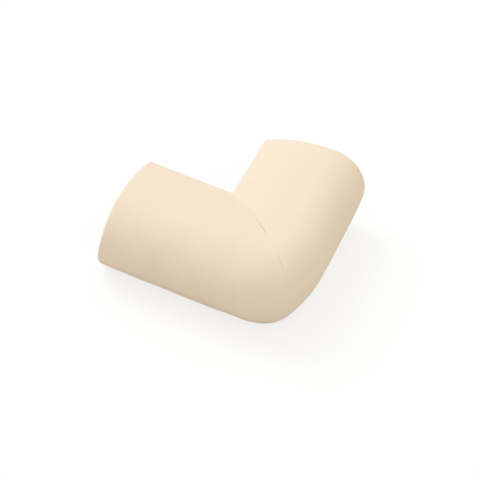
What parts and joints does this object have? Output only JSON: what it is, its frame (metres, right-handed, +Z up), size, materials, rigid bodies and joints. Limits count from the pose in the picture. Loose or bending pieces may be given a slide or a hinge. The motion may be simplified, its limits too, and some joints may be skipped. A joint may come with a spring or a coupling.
{
  "type": "corner guard",
  "caption": "L-shaped soft foam corner guard: a wide crowned top flap with a mitred seam and a shorter side flap that wrap the corner of a table top.",
  "frame": {"origin": "middle of the guard's box, at the level of the side flap's lower edge, on which it stands", "axes": "+Z up, from the table's edge to its top; one arm runs along +X and the other along +Y, and the outer corner points to -X -Y"},
  "size_m": [0.055, 0.055, 0.023],
  "materials": {
    "foam": "matt, fine closed-cell foam skin"
  },
  "bodies": {
    "root": {"foam_guard": "foam"}
  },
  "joints": []
}
